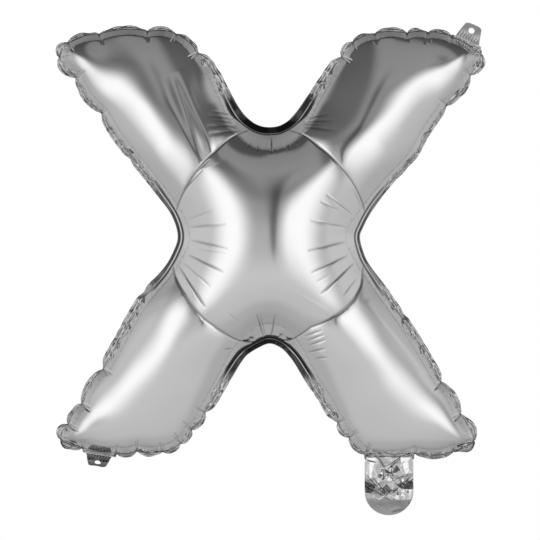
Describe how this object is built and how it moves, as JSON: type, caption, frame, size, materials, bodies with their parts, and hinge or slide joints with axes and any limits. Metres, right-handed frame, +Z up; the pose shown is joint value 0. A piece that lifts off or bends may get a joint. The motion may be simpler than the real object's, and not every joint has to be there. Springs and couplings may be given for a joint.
{
  "type": "letter foil balloon",
  "caption": "Inflated silver foil balloon in the shape of a letter X, welded round a scalloped border, with hanging tabs and a folding inflation tail.",
  "frame": {"origin": "the middle of the letter's crossing, on the plane of the weld", "axes": "+X to the right, +Y to the back (the front of the letter faces -Y), +Z up the letter"},
  "size_m": [0.3491, 0.0686, 0.4044],
  "materials": {
    "silver_foil": "bright aluminium-coated film, crumpled",
    "welded_foil": "heat-welded metallised film, finely crinkled"
  },
  "bodies": {
    "letter": {"front_foil": "silver_foil", "back_foil": "silver_foil", "seam_border": "welded_foil", "hang_tab_upper": "welded_foil", "hang_tab_lower": "welded_foil"},
    "tail": {"tail_front_film": "silver_foil", "tail_back_film": "silver_foil"}
  },
  "joints": [
    {"name": "tail_fold", "type": "hinge", "parent": "letter", "child": "tail", "pos_m": [0.098, 0, -0.183], "axis": [1, 0, 0], "range_deg": [-90, 90]}
  ]
}
